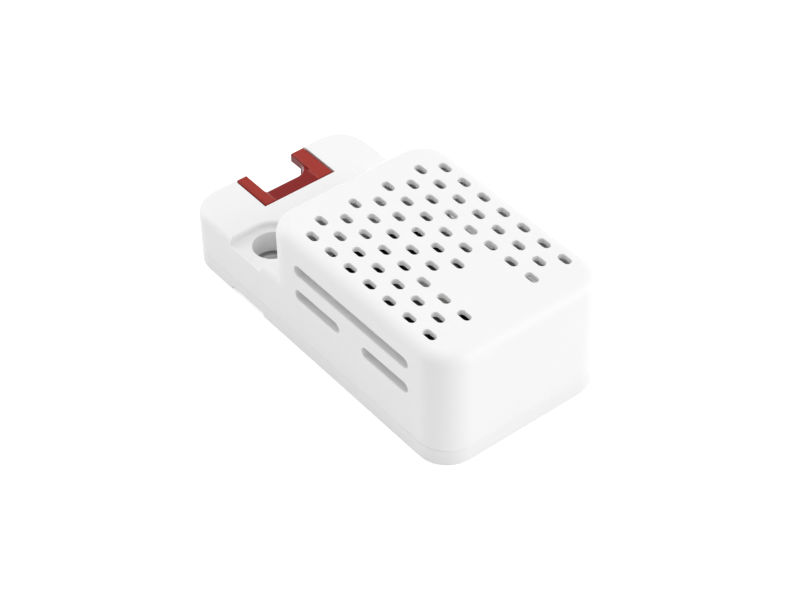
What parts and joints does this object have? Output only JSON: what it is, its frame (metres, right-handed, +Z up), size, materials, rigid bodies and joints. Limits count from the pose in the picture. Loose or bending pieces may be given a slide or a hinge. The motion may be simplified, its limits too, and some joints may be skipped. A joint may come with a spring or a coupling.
{
  "type": "carbon dioxide sensor module",
  "caption": "Two-level moulded carbon dioxide sensor module with a vented tall end, round brick-pin holes and a red side-entry socket at the low end.",
  "frame": {"origin": "middle of the case's underside", "axes": "+X towards the tall sensor end, -X towards the socket, +Z up"},
  "size_m": [0.048, 0.024, 0.016],
  "materials": {
    "white_case": "satin",
    "red_nylon": "satin",
    "board_mask": "gloss",
    "tinned_metal": "satin",
    "screw_steel": "satin",
    "sensor_base": "satin",
    "sensor_can": "satin",
    "filter_membrane": "matte",
    "solder": "gloss",
    "emitter_ceramic": "matte",
    "chip_epoxy": "matte",
    "capacitor_ceramic": "matte",
    "resistor_film": "gloss"
  },
  "bodies": {
    "root": {"upper_housing": "white_case", "lower_cover": "white_case", "case_screws": "screw_steel", "circuit_board": "board_mask", "header_housing": "red_nylon", "header_contacts": "tinned_metal", "header_anchor_tabs": "tinned_metal", "sensor_substrate": "sensor_base", "sensor_cap": "sensor_can", "sensor_membrane": "filter_membrane", "sensor_solder_lands": "solder", "infrared_emitter": "emitter_ceramic", "microphone_capsule": "sensor_can", "sensor_control_chip": "chip_epoxy", "humidity_sensor_chip": "chip_epoxy", "voltage_regulator": "chip_epoxy", "regulator_leads": "tinned_metal", "level_shifter": "chip_epoxy", "level_shifter_leads": "tinned_metal", "supply_capacitors": "capacitor_ceramic", "capacitor_terminals": "solder", "pull_up_resistors": "resistor_film", "resistor_terminals": "solder"}
  },
  "joints": []
}
